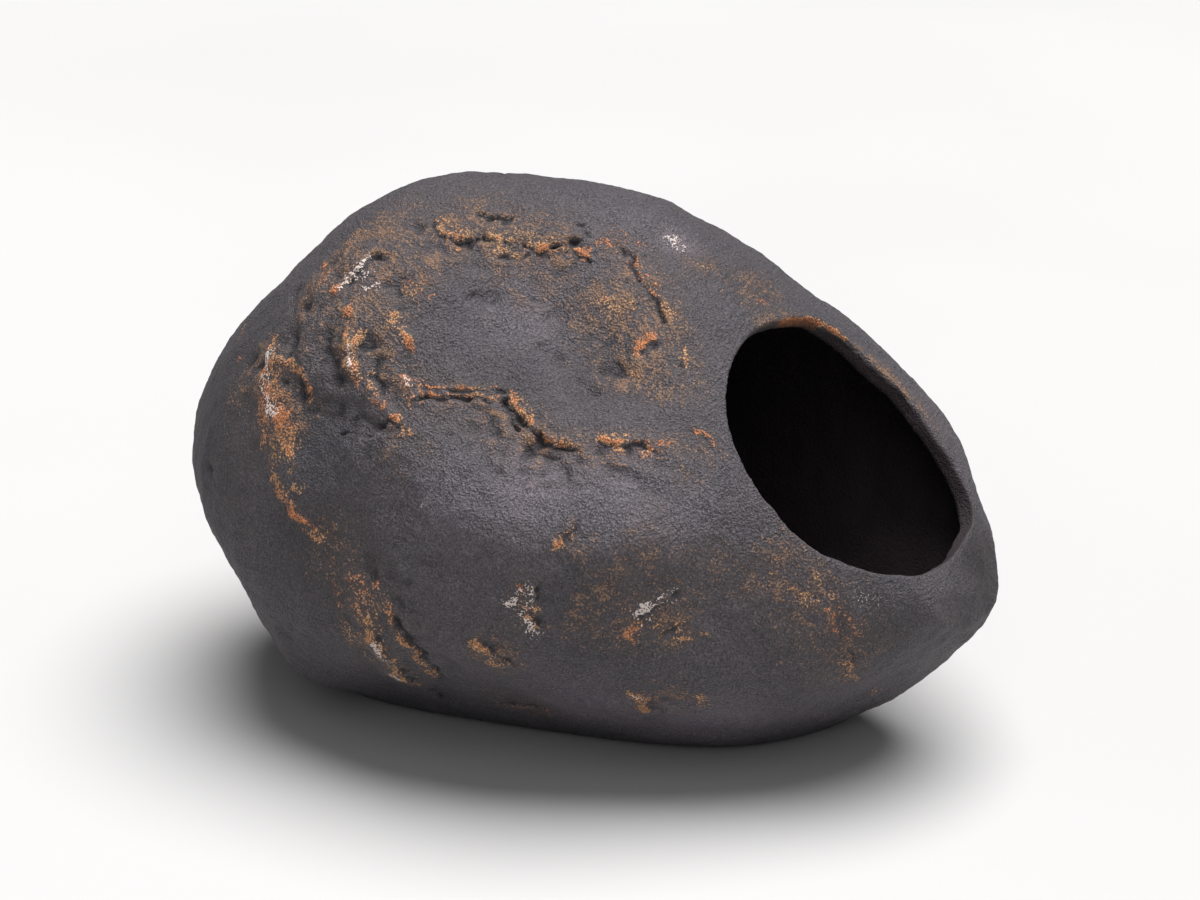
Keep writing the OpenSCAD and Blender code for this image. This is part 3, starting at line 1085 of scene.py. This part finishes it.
def brushed_coats(r, colour, coarse, fine):
    """Adds the haze, the orange strokes and the white ones."""
    haze = r.attribute("haze")
    orange = r.attribute("orange")
    clump = r.noise(1.7 * MM, detail=3)
    grain = r.math("ADD", r.spread(coarse, 0.3, 0.7, 0, 0.72), r.spread(clump, 0.3, 0.7, 0, 0.28))
    # Where the brush went, a thin brown wash lies under the grains of paint.
    wash = r.math("MINIMUM", r.math("ADD", haze, orange), 1.0)
    colour = r.mix(r.math("MULTIPLY", wash, 0.60), colour, BROWN_WASH)
    speck = r.mix(r.spread(fine, 0.35, 0.65), DARK_SPECK, PALE_SPECK)
    colour = r.mix(r.math("MULTIPLY", speckled(r, haze, grain), 0.6), colour, speck)

    brushed = r.math("MINIMUM", orange, MOST_ORANGE)
    orange_cover = r.math("MULTIPLY", speckled(r, brushed, grain), 0.85)
    colour = r.mix(orange_cover, colour, orange_paint(r, orange, fine))

    # The white lies on a finer grain.
    brushed = r.math("MINIMUM", r.attribute("white"), MOST_WHITE)
    grain = r.math("ADD", r.spread(fine, 0.3, 0.7, 0, 0.5), r.spread(coarse, 0.3, 0.7, 0, 0.5))
    white_cover = r.math("MULTIPLY", speckled(r, brushed, grain), 0.9)
    return r.mix(white_cover, colour, WHITE_PAINT)


def stone_relief(r, coarse, fine):
    """The finest of the surface: its grain, and the hatching that the mould left on it."""
    pebble = r.noise(1.1 * MM, detail=2)
    hatch = r.noise(0.8 * MM, detail=3, place=r.stretched((0.4, 0.5, 0.3), (1, 0.25, 1)))
    cross = r.noise(0.7 * MM, detail=3, place=r.stretched((-0.5, 0.2, -0.9), (1, 0.3, 1)))
    relief = r.math("MULTIPLY", coarse, 0.9)
    for texture, share in ((fine, 0.5), (pebble, 0.45), (hatch, 0.7), (cross, 0.6)):
        relief = r.math("ADD", relief, r.math("MULTIPLY", texture, share))
    return relief


def painted_resin():
    r = Recipe("painted_resin")
    coarse = r.noise(0.54 * MM, detail=1)
    fine = r.noise(0.38 * MM, detail=1)
    colour = brushed_coats(r, stone_coat(r, coarse, fine), coarse, fine)
    # The inside, and overhangs that face in, go darker than the resin: painted shade.
    colour = r.mix(r.attribute("inside"), colour, INSIDE_RESIN_AND_SHADE)
    normal = r.bump(stone_relief(r, coarse, fine), 0.66 * MM)
    roughness = r.math("MAXIMUM", r.attribute("inside"), 0.64)
    return r.finish(colour, roughness, normal, specular=0.42)


def bare_resin():
    r = Recipe("bare_resin")
    cloud = r.noise(9 * MM, detail=4)
    grain = r.noise(0.6 * MM, detail=4)
    pinholes = r.spread(r.cells(3.2 * MM), 0.10, 0.16, 1, 0)
    colour = r.mix(r.spread(cloud, 0.35, 0.65), (0.085, 0.078, 0.076), (0.125, 0.113, 0.108))
    # The pinholes are darkened in colour: painted shade in them.
    colour = r.mix(r.math("MULTIPLY", pinholes, 0.7), colour, (0.03, 0.027, 0.026))
    height = r.math("SUBTRACT", r.math("MULTIPLY", grain, 0.3), pinholes)
    normal = r.bump(height, 0.25 * MM, 0.8)
    return r.finish(colour, r.spread(cloud, 0.3, 0.7, 0.7, 0.86), normal)


def sealant():
    r = Recipe("sealant")
    ripple = r.noise(2.2 * MM, detail=2)
    dust = r.noise(0.5 * MM, detail=3)
    colour = r.mix(r.spread(dust, 0.5, 0.75), (0.016, 0.016, 0.017), (0.05, 0.049, 0.05))
    normal = r.bump(r.math("ADD", ripple, r.math("MULTIPLY", dust, 0.2)), 0.35 * MM, 0.9)
    return r.finish(colour, r.spread(ripple, 0.35, 0.65, 0.28, 0.5), normal, specular=0.5)


def pad_rubber():
    r = Recipe("pad_rubber")
    grain = r.noise(0.35 * MM, detail=3)
    scuff = r.noise(2.5 * MM, detail=4, rough=0.7)
    colour = r.mix(r.spread(scuff, 0.45, 0.7), (0.014, 0.014, 0.015), (0.045, 0.043, 0.042))
    return r.finish(colour, r.spread(scuff, 0.4, 0.7, 0.62, 0.9), r.bump(grain, 0.1 * MM, 0.7))


def pale_floor():
    r = Recipe("pale_floor")
    cloud = r.noise(0.4, detail=2)
    colour = r.mix(r.spread(cloud, 0.3, 0.7), (0.52, 0.52, 0.52), (0.54, 0.54, 0.54))
    return r.finish(colour, 0.9, None, specular=0.1)


def keep_node(node, material):
    """A CAD node whose shape stays, with a proper material."""
    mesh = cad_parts[node].data
    mesh.materials.clear()
    mesh.materials.append(material)


# ---------------------------------------------------------------- stage, light and camera

# The camera's place: degrees round from the front towards the mouth end, degrees up, metres.
VIEW_AZIMUTH = 26
VIEW_ELEVATION = 21
VIEW_DISTANCE = 0.7
# Focal length and sensor width in mm.
LENS = 85
SENSOR = 36
# The picture's centre lies up and to the right of the core.
VIEW_SHIFT = 2.47 * MM
FLOOR_SIZE = 12
# Lamps: name, energy, azimuth, elevation, angular size, colour.
LAMPS = [
    ("overhead", 5.3, 30, 80, 50, (1.0, 0.985, 0.98)),
    ("front", 0.7, -64, 40, 50, (0.97, 0.98, 1.0)),
]
SKY_COLOUR = (0.93, 0.96, 1.0, 1)
SKY_STRENGTH = 0.04


def add_stage():
    bpy.ops.mesh.primitive_plane_add(size=FLOOR_SIZE)
    floor = bpy.context.object
    floor.name = "floor"
    floor.data.materials.append(pale_floor())


def add_sun(name, energy, azimuth, elevation, angle, colour):
    light = bpy.data.lights.new(name, "SUN")
    light.energy = energy
    light.angle = math.radians(angle)
    light.color = colour
    lamp = bpy.data.objects.new(name, light)
    bpy.context.scene.collection.objects.link(lamp)
    lamp.rotation_euler = Vector(heading(azimuth, elevation)).to_track_quat("Z", "Y").to_euler()


def add_light():
    for lamp in LAMPS:
        add_sun(*lamp)
    world = bpy.data.worlds.new("studio")
    bpy.context.scene.world = world
    world.use_nodes = True
    sky = world.node_tree.nodes["Background"].inputs
    sky["Color"].default_value = SKY_COLOUR
    sky["Strength"].default_value = SKY_STRENGTH
    bpy.context.scene.view_settings.view_transform = "Standard"


def add_camera():
    a, e = math.radians(VIEW_AZIMUTH), math.radians(VIEW_ELEVATION)
    right = Vector((math.cos(a), math.sin(a), 0))
    back = Vector((math.sin(a) * math.cos(e), -math.cos(a) * math.cos(e), math.sin(e)))
    target = Vector(CORE) + (right + back.cross(right)) * VIEW_SHIFT
    data = bpy.data.cameras.new("camera")
    data.lens = LENS
    data.sensor_width = SENSOR
    camera = bpy.data.objects.new("camera", data)
    bpy.context.scene.collection.objects.link(camera)
    camera.location = target + back * VIEW_DISTANCE
    camera.rotation_euler = back.to_track_quat("Z", "Y").to_euler()
    bpy.context.scene.camera = camera


rock_casting()
keep_node("floor_plate", bare_resin())
keep_node("bond_bead", sealant())
rubber = pad_rubber()
for corner in ("front_left", "front_right", "rear_left", "rear_right"):
    keep_node("foot_" + corner, rubber)

add_stage()
add_light()
add_camera()
